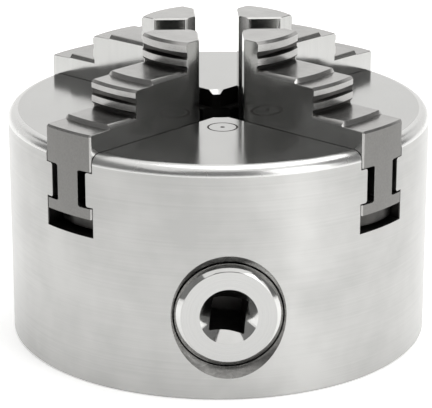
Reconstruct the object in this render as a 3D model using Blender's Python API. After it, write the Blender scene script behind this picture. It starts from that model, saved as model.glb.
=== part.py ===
"""Four-jaw self-centring lathe chuck, 100 mm.

The rear mounting face lies in z = 0, +Z runs along the spindle axis to the jaws, and the
front key socket faces -Y. Dimensions below are in millimetres and are scaled once, on the
way into each mesh.
"""

import math

import bmesh
import bpy

MM = 0.001

# Body
BODY_R = 50.0
BODY_H = 55.0
TOP_FILLET = 2.4
REAR_CHAMFER = 0.6
BORE_R = 11.0
BORE_CHAMFER = 1.0
REGISTER_R = 36.0
REGISTER_DEPTH = 3.0
COVER_SEAT_Z = 6.6
CAVITY_R = 31.0
CAVITY_TOP = 39.9
HUB_R = 15.5
BOLT_CIRCLE_R = 42.0
BOLT_HOLE_R = 3.4
BOLT_HOLE_DEPTH = 14.0
FILLET_STEPS = 3
BODY_STEPS = 64

# Guideways and jaws
JAW_ANGLES = (45.0, 135.0, 225.0, 315.0)
JAW_HALF = 7.0
JAW_NECK_HALF = 3.2
JAW_FOOT_Z = 39.9
JAW_FOOT_TOP = 42.4
JAW_SHOULDER_Z = 51.0
JAW_TIP = 8.8
JAW_TIP_HALF = 1.5
JAW_END_R = 50.2
JAW_TOP_Z = 74.5
GUIDE_HALF = 7.45
GUIDE_RIB_HALF = 5.15
GUIDE_FLOOR_Z = 35.6
GUIDE_RIB_Z = (42.7, 50.7)
LOW_PAD_Z = (59.5, 60.6)
MID_PAD_Z = (66.8, 67.9)
LOW_PAD_R = 44.2
LOW_RISER_R = 35.9
MID_PAD_R = 30.5
MID_RISER_R = 19.8
JAW_STEPS = 80

# Scroll: thread on the front, bevel gear on the back
SCROLL_R = 30.7
SCROLL_BORE_R = 15.8
SCROLL_SLEEVE_R = 22.0
SCROLL_SLEEVE_Z = 24.5
SCROLL_WEB_TOP = 35.4
SCROLL_TOP = 39.5
SCROLL_PITCH = 5.0
SCROLL_START_R = 15.2
SCROLL_END_R = 31.5
THREAD_INNER_R = 16.0
THREAD_HALF = 1.05
THREAD_STEPS = 40
TOOTH_HALF = 1.05
TOOTH_BOTTOM_Z = 36.2
TOOTH_HOLLOW_R = 33.0
TOOTH_ROUND_R = 17.5
TOOTH_LEAN = 0.036
TOOTH_STEPS = 6

# Bevel gearing, all cones meeting on the spindle axis at the key height
KEY_AXIS_Z = 19.9
SCROLL_TEETH = 34
PINION_TEETH = 10
GEAR_OUTER_R = 30.5
GEAR_INNER_R = 24.0

# Pinions
PINION_FACE = 49.5
PINION_R = 12.2
PINION_RIM_CHAMFER = 1.4
PINION_HEAD_END = 32.4
PINION_GROOVE = (41.2, 44.8)
PINION_GROOVE_R = 10.0
PINION_CORE_R = 5.0
PINION_NOSE_R = 4.0
PINION_NOSE_END = 12.7
PINION_BORE_R = 12.5
SOCKET_MOUTH_R = 6.55
SOCKET_SQUARE = 8.0
SOCKET_DEPTH = 15.0
SOCKET_TURN = 7.5

# Rear cover and screws
COVER_R = 35.7
COVER_Z = (3.0, 6.3)
COVER_BOSS_R = 22.0
COVER_BOSS_Z = 24.2
COVER_SCREWS = 6
COVER_SCREW_CIRCLE = 32.8
COVER_SCREW_R = 1.15
COVER_SCREW_HEAD_R = 2.45
COVER_SCREW_END = 10.6
PINION_SCREW_R = 43.0

STEEL = {
    "ground_steel": ((0.62, 0.62, 0.61), 0.28),
    "hardened_jaw": ((0.42, 0.42, 0.41), 0.32),
    "pinion_steel": ((0.66, 0.66, 0.65), 0.22),
    "scroll_steel": ((0.38, 0.37, 0.36), 0.38),
    "cover_steel": ((0.50, 0.50, 0.49), 0.40),
    "black_oxide": ((0.05, 0.05, 0.055), 0.45),
}


def clear_scene():
    for obj in list(bpy.data.objects):
        bpy.data.objects.remove(obj, do_unlink=True)


def make_object(name, points, faces):
    """A mesh object from millimetre points, its faces turned outwards."""
    mesh = bpy.data.meshes.new(name)
    mesh.from_pydata([(x * MM, y * MM, z * MM) for x, y, z in points], [], faces)
    bm = bmesh.new()
    bm.from_mesh(mesh)
    bmesh.ops.recalc_face_normals(bm, faces=bm.faces)
    bm.to_mesh(mesh)
    bm.free()
    obj = bpy.data.objects.new(name, mesh)
    bpy.context.scene.collection.objects.link(obj)
    return obj


def combine(target, tool, operation):
    """Apply one Boolean to the target and drop the tool."""
    mod = target.modifiers.new("op", "BOOLEAN")
    mod.operation = operation
    mod.solver = "EXACT"
    mod.object = tool
    graph = bpy.context.evaluated_depsgraph_get()
    result = bpy.data.meshes.new_from_object(target.evaluated_get(graph))
    target.modifiers.clear()
    old = target.data
    target.data = result
    result.name = target.name
    bpy.data.meshes.remove(old)
    bpy.data.objects.remove(tool, do_unlink=True)
    return target


def cut(target, tool):
    return combine(target, tool, "DIFFERENCE")


def join(target, tool):
    return combine(target, tool, "UNION")


def turned(name, profile, steps, place=None):
    """A solid of revolution from a closed (radius, height) outline."""
    place = place or (lambda x, y, h: (x, y, h))
    points = []
    rings = []
    for radius, height in profile:
        if radius == 0.0:
            rings.append([len(points)])
            points.append(place(0.0, 0.0, height))
            continue
        rings.append(list(range(len(points), len(points) + steps)))
        for i in range(steps):
            a = 2.0 * math.pi * (i + 0.5) / steps
            points.append(place(radius * math.cos(a), radius * math.sin(a), height))
    faces = []
    for k, ring in enumerate(rings):
        other = rings[(k + 1) % len(rings)]
        for i in range(steps):
            j = (i + 1) % steps
            if len(ring) > 1 and len(other) > 1:
                faces.append((ring[i], ring[j], other[j], other[i]))
            elif len(ring) > 1:
                faces.append((ring[i], ring[j], other[0]))
            elif len(other) > 1:
                faces.append((ring[0], other[j], other[i]))
    return make_object(name, points, faces)


def lofted(name, sections):
    """Side walls between equal loops of points, with the two ends closed."""
    count = len(sections[0])
    points = [p for loop in sections for p in loop]
    faces = []
    for s in range(len(sections) - 1):
        for i in range(count):
            j = (i + 1) % count
            base = s * count
            faces.append((base + i, base + j, base + count + j, base + count + i))
    faces.append(tuple(range(count)))
    faces.append(tuple(reversed(range(len(points) - count, len(points)))))
    return make_object(name, points, faces)


def upright(name, outline, low, high):
    """An outline in plan raised from one height to another."""
    return lofted(name, [[(x, y, z) for x, y in outline] for z in (low, high)])


def joined_copies(name, pieces):
    """Several separate pieces held as one mesh, for a single Boolean."""
    points = []
    faces = []
    for piece in pieces:
        base = len(points)
        points += [tuple(c / MM for c in v.co) for v in piece.data.vertices]
        faces += [tuple(base + i for i in f.vertices) for f in piece.data.polygons]
        bpy.data.objects.remove(piece, do_unlink=True)
    return make_object(name, points, faces)


def radial(angle):
    """Maps (outwards, sideways, height) to the chuck's frame for one azimuth."""
    c = math.cos(math.radians(angle))
    s = math.sin(math.radians(angle))
    return lambda u, v, z: (u * c - v * s, u * s + v * c, z)


def along_key(side):
    """Maps a turned piece so that its height runs outwards along the key axis."""
    return lambda x, y, h: (x, side * h, KEY_AXIS_Z + y)


def give_material(obj, slot):
    color, rough = STEEL[slot]
    mat = bpy.data.materials.new(obj.name + "_" + slot)
    mat.use_nodes = True
    shader = mat.node_tree.nodes["Principled BSDF"]
    shader.inputs["Base Color"].default_value = (*color, 1.0)
    shader.inputs["Metallic"].default_value = 1.0
    shader.inputs["Roughness"].default_value = rough
    obj.data.materials.clear()
    obj.data.materials.append(mat)


def finish(obj, slot):
    """Smooth the round faces, keep the corners sharp and give the node its steel."""
    give_material(obj, slot)
    for face in obj.data.polygons:
        face.use_smooth = True
    obj.data.set_sharp_from_angle(angle=math.radians(28.0))
    return obj


def set_origin(obj, x, y, z):
    """Put the object's origin on its joint axis without moving the shape."""
    for vertex in obj.data.vertices:
        vertex.co.x -= x * MM
        vertex.co.y -= y * MM
        vertex.co.z -= z * MM
    obj.location = (x * MM, y * MM, z * MM)


def body_profile():
    outer = [(BODY_R - REAR_CHAMFER, 0.0), (BODY_R, REAR_CHAMFER)]
    centre = (BODY_R - TOP_FILLET, BODY_H - TOP_FILLET)
    for i in range(FILLET_STEPS + 1):
        a = 0.5 * math.pi * i / FILLET_STEPS
        outer.append((centre[0] + TOP_FILLET * math.cos(a), centre[1] + TOP_FILLET * math.sin(a)))
    bore = [
        (BORE_R + BORE_CHAMFER, BODY_H),
        (BORE_R, BODY_H - BORE_CHAMFER),
        (BORE_R, REGISTER_DEPTH + 0.6),
        (BORE_R + 0.6, REGISTER_DEPTH),
        (HUB_R, REGISTER_DEPTH),
    ]
    inside = [
        (HUB_R, CAVITY_TOP),
        (CAVITY_R, CAVITY_TOP),
        (CAVITY_R, COVER_SEAT_Z),
        (REGISTER_R, COVER_SEAT_Z),
        (REGISTER_R, 0.5),
        (REGISTER_R + 0.5, 0.0),
    ]
    return outer + bore + inside


def guideway(angle):
    """The jaw's way through the body: wide, narrowed by two ribs, then wide again."""
    wide, narrow = GUIDE_HALF, GUIDE_RIB_HALF
    low, high = GUIDE_RIB_Z
    half = [
        (wide, GUIDE_FLOOR_Z),
        (wide, low),
        (narrow, low),
        (narrow, high),
        (wide, high),
        (wide, BODY_H + 4.0),
    ]
    outline = half + [(-v, z) for v, z in reversed(half)]
    place = radial(angle)
    return lofted("way", [[place(u, v, z) for v, z in outline] for u in (0.5, BODY_R + 3.0)])


def pinion_bore(side):
    profile = [
        (0.0, 27.6),
        (PINION_BORE_R, 27.6),
        (PINION_BORE_R, BODY_R - 2.1),
        (PINION_BORE_R + 3.4, BODY_R + 1.3),
        (0.0, BODY_R + 1.3),
    ]
    return turned("bore", profile, 40, along_key(side))


def nose_hole(side):
    profile = [(0.0, 12.1), (PINION_NOSE_R + 0.3, 12.1), (PINION_NOSE_R + 0.3, 18.0), (0.0, 18.0)]
    return turned("hole", profile, 24, along_key(side))


def drilled(x, y, radius, low, high, steps=16):
    profile = [(0.0, low), (radius, low), (radius, high), (0.0, high + 0.6 * radius)]
    return turned("drill", profile, steps, shifted(x, y))


def shifted(x, y):
    """Moves a piece turned about +Z to stand over a point in plan."""
    return lambda px, py, h: (x + px, y + py, h)


def on_circle(radius, angle):
    a = math.radians(angle)
    return radius * math.cos(a), radius * math.sin(a)


def screw_angles():
    return [360.0 * i / COVER_SCREWS for i in range(COVER_SCREWS)]


def make_body():
    body = turned("chuck_body", body_profile(), BODY_STEPS)
    for angle in JAW_ANGLES:
        cut(body, guideway(angle))
    for side in (-1.0, 1.0):
        cut(body, pinion_bore(side))
        cut(body, nose_hole(side))
        cut(body, drilled(0.0, side * PINION_SCREW_R, 3.2, -1.0, 8.2))
    for angle in JAW_ANGLES:
        x, y = on_circle(BOLT_CIRCLE_R, angle)
        cut(body, drilled(x, y, BOLT_HOLE_R, -1.0, BOLT_HOLE_DEPTH, 24))
    for angle in screw_angles():
        x, y = on_circle(COVER_SCREW_CIRCLE, angle)
        cut(body, drilled(x, y, COVER_SCREW_R + 0.3, COVER_SEAT_Z - 1.0, COVER_SCREW_END + 0.6, 12))
    return finish(body, "ground_steel")


def grooved_riser(radius, low, high):
    """A gripping riser from its foot up: undercut, land, groove, land and chamfer."""
    return [
        (radius - 0.9, low),
        (radius - 0.9, low + 0.6),
        (radius, low + 1.1),
        (radius, low + 2.5),
        (radius - 2.0, low + 3.05),
        (radius - 2.0, low + 3.4),
        (radius, low + 3.9),
        (radius, high - 0.9),
        (radius - 0.8, high),
    ]


def stepped_outline():
    """The stepped shape that is turned across all four jaws at once."""
    outline = [(0.0, 30.0), (JAW_END_R, 30.0)]
    outline += [(JAW_END_R, LOW_PAD_Z[0] - 0.5), (JAW_END_R - 0.5, LOW_PAD_Z[0])]
    outline += [(LOW_PAD_R, LOW_PAD_Z[0]), (LOW_PAD_R - 0.3, LOW_PAD_Z[1])]
    outline += grooved_riser(LOW_RISER_R, LOW_PAD_Z[1], MID_PAD_Z[0])
    outline += [(MID_PAD_R, MID_PAD_Z[0]), (MID_PAD_R - 0.3, MID_PAD_Z[1])]
    outline += grooved_riser(MID_RISER_R, MID_PAD_Z[1], JAW_TOP_Z)
    outline += [(0.0, JAW_TOP_Z)]
    return outline


def thread_radius(angle):
    """Middle of the scroll's thread at an azimuth in degrees, counted from the start."""
    return SCROLL_START_R + SCROLL_PITCH * angle / 360.0


def tooth_centres(angle):
    """Where the scroll's groove crosses a jaw, from the tip to the outer end."""
    first = thread_radius(angle) + 0.5 * SCROLL_PITCH
    while first - SCROLL_PITCH > JAW_TIP + 2.4:
        first -= SCROLL_PITCH
    centres = []
    while first < JAW_END_R - 2.6:
        centres.append(first)
        first += SCROLL_PITCH
    return centres


def crescent(centre, offset, radius):
    """One face of a tooth in plan: an arc that leans with the thread."""
    half = JAW_HALF - 0.25
    across = [half * (2.0 * i / TOOTH_STEPS - 1.0) for i in range(TOOTH_STEPS + 1)]
    return [(centre + offset - (radius - math.sqrt(radius**2 - v * v)) + TOOTH_LEAN * v, v) for v in across]


def jaw_tooth(centre, angle):
    """A crescent tooth: its hollow side suits the widest turn, its round side the tightest."""
    hollow = crescent(centre, -TOOTH_HALF, TOOTH_HOLLOW_R)
    rounded = crescent(centre, TOOTH_HALF, TOOTH_ROUND_R)
    place = radial(angle)
    loops = []
    for z in (TOOTH_BOTTOM_Z, JAW_FOOT_Z + 0.7):
        loops.append([place(u, v, z) for u, v in hollow + rounded[::-1]])
    return lofted("tooth", loops)


def jaw_bar(name, angle):
    """The jaw's bar: head, neck and foot, from the tip to past the outer end."""
    half = [
        (JAW_HALF, JAW_FOOT_Z),
        (JAW_HALF, JAW_FOOT_TOP),
        (JAW_NECK_HALF, JAW_FOOT_TOP),
        (JAW_NECK_HALF, JAW_SHOULDER_Z),
        (JAW_HALF, JAW_SHOULDER_Z),
        (JAW_HALF, JAW_TOP_Z + 1.5),
    ]
    outline = half + [(-v, z) for v, z in reversed(half)]
    place = radial(angle)
    return lofted(name, [[place(u, v, z) for v, z in outline] for u in (JAW_TIP, JAW_END_R + 2.0)])


def tip_cut(angle, side):
    """Takes one flank of the jaw's tip back at 45 degrees."""
    outline = [
        (JAW_TIP - 2.0, JAW_TIP_HALF - 2.0),
        (JAW_TIP + 9.0, JAW_TIP_HALF + 9.0),
        (JAW_TIP - 2.0, JAW_TIP_HALF + 9.0),
    ]
    place = radial(angle)
    return lofted("flank", [[place(u, side * v, z) for u, v in outline] for z in (30.0, 80.0)])


def make_jaw(index, angle):
    jaw = jaw_bar("jaw_%d" % index, angle)
    teeth = [jaw_tooth(c, angle) for c in tooth_centres(angle)]
    join(jaw, joined_copies("teeth", teeth))
    for side in (-1.0, 1.0):
        cut(jaw, tip_cut(angle, side))
    combine(jaw, turned("steps", stepped_outline(), JAW_STEPS), "INTERSECT")
    finish(jaw, "hardened_jaw")
    x, y = on_circle(30.0, angle)
    set_origin(jaw, x, y, JAW_SHOULDER_Z)
    return jaw


def scroll_thread():
    """The flat spiral thread, thinning to nothing where it meets the rims."""
    turns = (SCROLL_END_R - SCROLL_START_R) / SCROLL_PITCH
    steps = int(round(turns * THREAD_STEPS))
    inner = []
    outer = []
    for i in range(steps + 1):
        angle = 360.0 * turns * i / steps
        centre = thread_radius(angle)
        near = max(THREAD_INNER_R, centre - THREAD_HALF)
        far = min(SCROLL_R - 0.02, centre + THREAD_HALF)
        inner.append(on_circle(near, angle))
        outer.append(on_circle(far, angle))
    points = []
    for z in (SCROLL_WEB_TOP - 0.5, SCROLL_TOP):
        points += [(x, y, z) for x, y in inner]
        points += [(x, y, z) for x, y in outer]
    n = steps + 1
    faces = []
    for i in range(steps):
        faces.append((i, i + 1, n + i + 1, n + i))
        faces.append((2 * n + i, 3 * n + i, 3 * n + i + 1, 2 * n + i + 1))
        faces.append((i, 2 * n + i, 2 * n + i + 1, i + 1))
        faces.append((n + i, n + i + 1, 3 * n + i + 1, 3 * n + i))
    faces.append((0, n, 3 * n, 2 * n))
    faces.append((n - 1, 3 * n - 1, 4 * n - 1, 2 * n - 1))
    return make_object("thread", points, faces)


def crown_tooth(angle):
    """One bevel tooth under the scroll, tapering to the common apex."""
    ratio = PINION_TEETH / SCROLL_TEETH
    loops = []
    for r in (GEAR_INNER_R, GEAR_OUTER_R):
        scale = r / GEAR_OUTER_R
        tip = KEY_AXIS_Z + r * ratio - 0.95 * scale
        root = KEY_AXIS_Z + r * ratio + 1.9 * scale
        tip_half, root_half = 0.70 * scale, 1.75 * scale
        place = radial(angle)
        loops.append([
            place(r, -tip_half, tip),
            place(r, tip_half, tip),
            place(r, root_half, root),
            place(r, -root_half, root),
        ])
    return lofted("crown", loops)


def make_scroll():
    ratio = PINION_TEETH / SCROLL_TEETH
    root_slope = ratio + 1.25 / GEAR_OUTER_R
    profile = [
        (SCROLL_BORE_R, SCROLL_SLEEVE_Z),
        (SCROLL_SLEEVE_R, SCROLL_SLEEVE_Z),
        (SCROLL_SLEEVE_R, KEY_AXIS_Z + SCROLL_SLEEVE_R * root_slope),
        (SCROLL_R, KEY_AXIS_Z + SCROLL_R * root_slope),
        (SCROLL_R, SCROLL_WEB_TOP),
        (SCROLL_BORE_R, SCROLL_WEB_TOP),
    ]
    scroll = turned("scroll_plate", profile, BODY_STEPS)
    join(scroll, scroll_thread())
    step = 360.0 / SCROLL_TEETH
    teeth = [crown_tooth(-90.0 + step * i) for i in range(SCROLL_TEETH)]
    join(scroll, joined_copies("crown", teeth))
    return finish(scroll, "scroll_steel")


def pinion_gear(side):
    """The bevel teeth of a pinion as one tapering star."""
    pitch_r = GEAR_OUTER_R * PINION_TEETH / SCROLL_TEETH
    corners = [(pitch_r - 1.45, 0.185), (pitch_r, 0.118), (pitch_r + 0.85, 0.062)]
    star = []
    for i in range(PINION_TEETH):
        middle = 0.5 * math.pi + 2.0 * math.pi * (i + 0.5) / PINION_TEETH
        for radius, half in corners:
            star.append((radius, middle - half))
        for radius, half in reversed(corners):
            star.append((radius, middle + half))
    place = along_key(side)
    loops = []
    for distance in (GEAR_INNER_R, GEAR_OUTER_R):
        scale = distance / GEAR_OUTER_R
        loops.append([place(r * scale * math.cos(a), r * scale * math.sin(a), distance) for r, a in star])
    return lofted("gear", loops)


def socket_square(side):
    """The square for the key, turned a little about the key axis."""
    reach = 0.5 * SOCKET_SQUARE * math.sqrt(2.0)
    place = along_key(side)
    loops = []
    for distance in (PINION_FACE - SOCKET_DEPTH, PINION_FACE + 1.0):
        loop = []
        for i in range(4):
            a = math.radians(45.0 + 90.0 * i + side * SOCKET_TURN)
            loop.append(place(reach * math.cos(a), reach * math.sin(a), distance))
        loops.append(loop)
    return lofted("square", loops)


def make_pinion(name, side):
    low, high = PINION_GROOVE
    profile = [
        (0.0, PINION_NOSE_END),
        (PINION_NOSE_R - 0.5, PINION_NOSE_END),
        (PINION_NOSE_R, PINION_NOSE_END + 0.5),
        (PINION_NOSE_R, GEAR_INNER_R - 1.0),
        (PINION_CORE_R, GEAR_INNER_R),
        (PINION_CORE_R, PINION_HEAD_END - 2.2),
        (PINION_R - 0.8, PINION_HEAD_END),
        (PINION_R, PINION_HEAD_END + 0.8),
        (PINION_R, low),
        (PINION_GROOVE_R, low),
        (PINION_GROOVE_R, high),
        (PINION_R, high),
        (PINION_R, PINION_FACE - PINION_RIM_CHAMFER),
        (PINION_R - PINION_RIM_CHAMFER, PINION_FACE),
        (0.0, PINION_FACE),
    ]
    pinion = turned(name, profile, 40, along_key(side))
    join(pinion, pinion_gear(side))
    deep = SOCKET_MOUTH_R - 0.5 * SOCKET_SQUARE + 0.3
    mouth = [
        (0.0, PINION_FACE - deep),
        (SOCKET_MOUTH_R - deep, PINION_FACE - deep),
        (SOCKET_MOUTH_R + 1.0, PINION_FACE + 1.0),
        (0.0, PINION_FACE + 1.0),
    ]
    cut(pinion, turned("mouth", mouth, 32, along_key(side)))
    cut(pinion, socket_square(side))
    finish(pinion, "pinion_steel")
    set_origin(pinion, 0.0, side * 40.0, KEY_AXIS_Z)
    return pinion


def make_cover():
    low, high = COVER_Z
    profile = [
        (HUB_R + 0.4, low),
        (COVER_R - 0.4, low),
        (COVER_R, low + 0.4),
        (COVER_R, high),
        (COVER_BOSS_R, high),
        (COVER_BOSS_R, COVER_BOSS_Z),
        (HUB_R + 0.4, COVER_BOSS_Z),
    ]
    cover = turned("rear_cover", profile, BODY_STEPS)
    for side in (-1.0, 1.0):
        outline = [(-4.5, side * 14.0), (4.5, side * 14.0), (4.5, side * 24.0), (-4.5, side * 24.0)]
        cut(cover, upright("notch", outline, 15.3, COVER_BOSS_Z + 1.0))
    wide = COVER_SCREW_HEAD_R + 0.3
    slim = COVER_SCREW_R + 0.3
    for angle in screw_angles():
        x, y = on_circle(COVER_SCREW_CIRCLE, angle)
        sink = [
            (0.0, low - 0.5),
            (wide + 0.5, low - 0.5),
            (slim, low + wide - slim),
            (slim, high + 0.5),
            (0.0, high + 0.5),
        ]
        cut(cover, turned("sink", sink, 16, shifted(x, y)))
    return finish(cover, "cover_steel")


def hex_socket(x, y, across, low, high):
    corners = [on_circle(across / math.sqrt(3.0), 60.0 * i) for i in range(6)]
    return upright("hex", [(x + cx, y + cy) for cx, cy in corners], low, high)


def make_cover_screw(index, angle):
    x, y = on_circle(COVER_SCREW_CIRCLE, angle)
    low = COVER_Z[0] + 0.05
    neck = low + COVER_SCREW_HEAD_R - COVER_SCREW_R
    profile = [
        (0.0, low),
        (COVER_SCREW_HEAD_R, low),
        (COVER_SCREW_R, neck),
        (COVER_SCREW_R, COVER_SCREW_END - 0.3),
        (COVER_SCREW_R - 0.3, COVER_SCREW_END),
        (0.0, COVER_SCREW_END),
    ]
    screw = turned("cover_screw_%d" % index, profile, 16, shifted(x, y))
    cut(screw, hex_socket(x, y, 1.5, 0.0, low + 0.9))
    return finish(screw, "black_oxide")


def make_pinion_screw(name, side):
    y = side * PINION_SCREW_R
    profile = [(0.0, 0.8), (2.5, 0.8), (2.9, 1.2), (2.9, 6.6), (1.5, 7.2), (1.5, 9.4), (0.0, 9.4)]
    screw = turned(name, profile, 20, shifted(0.0, y))
    cut(screw, hex_socket(0.0, y, 3.0, 0.0, 3.6))
    return finish(screw, "black_oxide")


def main():
    clear_scene()
    make_body()
    make_scroll()
    make_pinion("pinion_front", -1.0)
    make_pinion("pinion_rear", 1.0)
    for index, angle in enumerate(JAW_ANGLES, 1):
        make_jaw(index, angle)
    make_cover()
    for index, angle in enumerate(screw_angles(), 1):
        make_cover_screw(index, angle)
    make_pinion_screw("pinion_screw_front", -1.0)
    make_pinion_screw("pinion_screw_rear", 1.0)


main()
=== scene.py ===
"""Four-jaw self-centring lathe chuck, 100 mm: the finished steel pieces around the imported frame.

The chuck stands on its rear face, +Z runs along the spindle axis to the jaws and the front key
socket faces -Y. Shapes are worked in millimetres and scaled once, when a piece is finished.
"""
import math

import bmesh
import bpy
from mathutils import Matrix, Vector


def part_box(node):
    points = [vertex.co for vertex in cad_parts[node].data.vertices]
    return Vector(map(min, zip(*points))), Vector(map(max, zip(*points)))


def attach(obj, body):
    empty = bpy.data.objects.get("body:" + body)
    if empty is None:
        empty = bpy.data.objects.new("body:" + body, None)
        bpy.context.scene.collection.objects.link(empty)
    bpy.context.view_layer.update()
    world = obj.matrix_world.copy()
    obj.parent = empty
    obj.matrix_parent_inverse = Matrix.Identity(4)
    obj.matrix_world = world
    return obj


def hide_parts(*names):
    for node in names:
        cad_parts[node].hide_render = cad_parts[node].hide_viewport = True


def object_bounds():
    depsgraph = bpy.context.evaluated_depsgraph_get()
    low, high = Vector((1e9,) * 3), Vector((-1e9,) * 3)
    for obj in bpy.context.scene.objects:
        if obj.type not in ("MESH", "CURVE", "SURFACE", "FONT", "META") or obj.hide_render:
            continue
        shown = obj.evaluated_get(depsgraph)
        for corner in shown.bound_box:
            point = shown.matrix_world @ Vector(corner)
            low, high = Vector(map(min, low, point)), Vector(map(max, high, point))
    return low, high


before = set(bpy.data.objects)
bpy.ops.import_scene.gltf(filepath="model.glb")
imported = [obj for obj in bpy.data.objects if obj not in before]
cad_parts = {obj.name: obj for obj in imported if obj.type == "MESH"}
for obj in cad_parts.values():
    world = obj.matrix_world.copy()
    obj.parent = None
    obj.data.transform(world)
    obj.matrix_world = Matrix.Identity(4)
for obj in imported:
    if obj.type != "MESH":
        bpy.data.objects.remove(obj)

CAD_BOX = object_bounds()
MM = 0.001


def box_mm(node):
    """Lowest and highest corner of a frame node, in millimetres."""
    low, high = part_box(node)
    return low / MM, high / MM


# Body
BODY_H = box_mm("chuck_body")[1].z
BODY_R = 50.0
TOP_FILLET = 2.4
FILLET_STEPS = 12
REAR_CHAMFER = 0.6
BORE_R = 11.0
BORE_CHAMFER = 1.0
REGISTER_R = 36.0
REGISTER_DEPTH = 3.0
COVER_SEAT_Z = 6.6
CAVITY_R = 31.0
CAVITY_TOP = 39.9
HUB_R = 15.5
BOLT_CIRCLE_R = 42.0
BOLT_HOLE_R = 3.4
BOLT_HOLE_DEPTH = 14.0
BODY_STEPS = 256
ROUND_STEPS = 48
HOLE_EASE = 0.35
SHARP_FROM = 20.0

# Guideways and jaws
JAW_ANGLES = {"jaw_1": 45.0, "jaw_2": 135.0, "jaw_3": 225.0, "jaw_4": 315.0}
JAW_BODIES = {"jaw_1": "jaw_a", "jaw_2": "jaw_b", "jaw_3": "jaw_c", "jaw_4": "jaw_d"}
JAW_HALF = 7.0
NECK_HALF = 3.2
FOOT_Z = 39.9
FOOT_TOP = 42.4
SHOULDER_Z = 51.0
JAW_TIP = 8.8
JAW_TIP_HALF = 1.5
JAW_END_R = 50.2
JAW_TOP_Z = box_mm("jaw_1")[1].z
LOW_PAD_Z = (59.5, 60.6)
MID_PAD_Z = (66.8, 67.9)
LOW_PAD_R = 44.2
LOW_RISER_R = 35.9
MID_PAD_R = 30.5
MID_RISER_R = 19.8
CORNER = 0.8
END_CORNER = 0.3
UNDERCUT = 1.1
GROOVE = (2.65, 4.35)
EDGE_ROUND = 0.17
GUIDE_HALF = 7.15
RIB_HALF = 5.15
GUIDE_FLOOR_Z = 35.6
RIB_Z = (42.7, 50.7)
RIB_CORNER = 0.35
MOUTH_FLARE = 0.35

# Scroll thread, which sets where each jaw's teeth sit
SCROLL_START_R = 15.2
SCROLL_PITCH = 5.0
TOOTH_HALF = 1.05
TOOTH_BOTTOM_Z = 36.2
TOOTH_HOLLOW_R = 33.0
TOOTH_ROUND_R = 17.5
TOOTH_LEAN = 0.036
TOOTH_STEPS = 16

# Pinions
KEY_AXIS_Z = 19.9
SCROLL_TEETH = 34
PINION_TEETH = 10
GEAR_OUTER_R = 30.5
GEAR_INNER_R = 24.0
PINION_FACE = 49.5
PINION_R = 12.2
RIM_CHAMFER = 1.4
HEAD_END = 32.4
PINION_GROOVE = (41.2, 44.8)
PINION_GROOVE_R = 10.0
NOSE_R = 4.0
NOSE_END = 12.7
PINION_BORE_R = 12.5
PINION_BORE_END = 27.6
RECESS_DEPTH = 2.1
RECESS_FLARE = 3.4
NOSE_HOLE = (12.1, 18.0)
NOSE_PLAY = 0.3
PAST_WALL = 1.3
MOUTH_R = 6.55
SQUARE = 8.0
SOCKET_DEPTH = 15.0
SOCKET_TURN = 7.5

# Rear cover and screws
COVER_R = 35.7
COVER_Z = (3.0, 6.3)
BOSS_R = 22.0
BOSS_Z = 24.2
SCREW_CIRCLE = 32.8
SCREW_ANGLES = [60.0 * i for i in range(6)]
SCREW_PLAY = 0.3
SCREW_R = 1.15
SCREW_HEAD_R = 2.45
SCREW_END = 10.6
PINION_SCREW_R = 43.0
STOP_HOLE_R = 3.2
STOP_HOLE_DEPTH = 8.2
NOTCH_HALF = 4.5
NOTCH_REACH = (14.0, 24.0)
NOTCH_Z = 15.3
NOTCH_RISE = 12.0

# Etched index ring on the face
RING_CENTRE_Y = -19.7
RING_R = 3.35
RING_LINE = 0.45
RING_DOT_R = 0.55


# ---------------------------------------------------------------- shaping

def face_outward(bm):
    """Normals recalculated, and turned over if the closed shape came out inside out."""
    bmesh.ops.recalc_face_normals(bm, faces=bm.faces[:])
    if bm.calc_volume(signed=True) < 0.0:
        bmesh.ops.reverse_faces(bm, faces=bm.faces[:])


def spin_outline(outline, steps):
    """A solid of revolution about Z from a (radius, height) outline."""
    bm = bmesh.new()
    verts = [bm.verts.new((r, 0.0, z)) for r, z in outline]
    edges = [bm.edges.new(pair) for pair in zip(verts, verts[1:])]
    if outline[0][0] > 0.0:
        edges.append(bm.edges.new((verts[-1], verts[0])))
    bmesh.ops.spin(bm, geom=verts + edges, cent=(0, 0, 0), axis=(0, 0, 1),
                   angle=2.0 * math.pi, steps=steps, use_merge=True)
    bmesh.ops.remove_doubles(bm, verts=bm.verts[:], dist=1e-4)
    half_step = Matrix.Rotation(math.pi / steps, 3, "Z")
    bmesh.ops.rotate(bm, cent=(0, 0, 0), matrix=half_step, verts=bm.verts[:])
    face_outward(bm)
    return bm


def extrude_outline(points, moves):
    """A closed outline drawn out by one move after another; a move may also scale about a point."""
    bm = bmesh.new()
    first = face = bm.faces.new([bm.verts.new(p) for p in points])
    for move, scale, about in moves:
        made = bmesh.ops.extrude_face_region(bm, geom=[face])["geom"]
        if face is not first:
            bmesh.ops.delete(bm, geom=[face], context="FACES_ONLY")
        verts = [g for g in made if isinstance(g, bmesh.types.BMVert)]
        face = [g for g in made if isinstance(g, bmesh.types.BMFace)][0]
        bmesh.ops.translate(bm, vec=move, verts=verts)
        if scale:
            bmesh.ops.scale(bm, vec=scale, space=Matrix.Translation(-Vector(about)), verts=verts)
    face_outward(bm)
    return bm


def straight(points, move):
    return extrude_outline(points, [(move, None, None)])


def turn(bm, degrees):
    """Turns a shape about the spindle axis to a jaw's azimuth."""
    matrix = Matrix.Rotation(math.radians(degrees), 3, "Z")
    bmesh.ops.rotate(bm, cent=(0, 0, 0), matrix=matrix, verts=bm.verts[:])
    return bm


def along_key(bm, side):
    """Lays a shape turned about Z along the key axis, its height running outwards."""
    matrix = Matrix(((1, 0, 0, 0), (0, 0, side, 0), (0, 1, 0, KEY_AXIS_Z), (0, 0, 0, 1)))
    bm.transform(matrix)
    face_outward(bm)
    return bm


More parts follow.
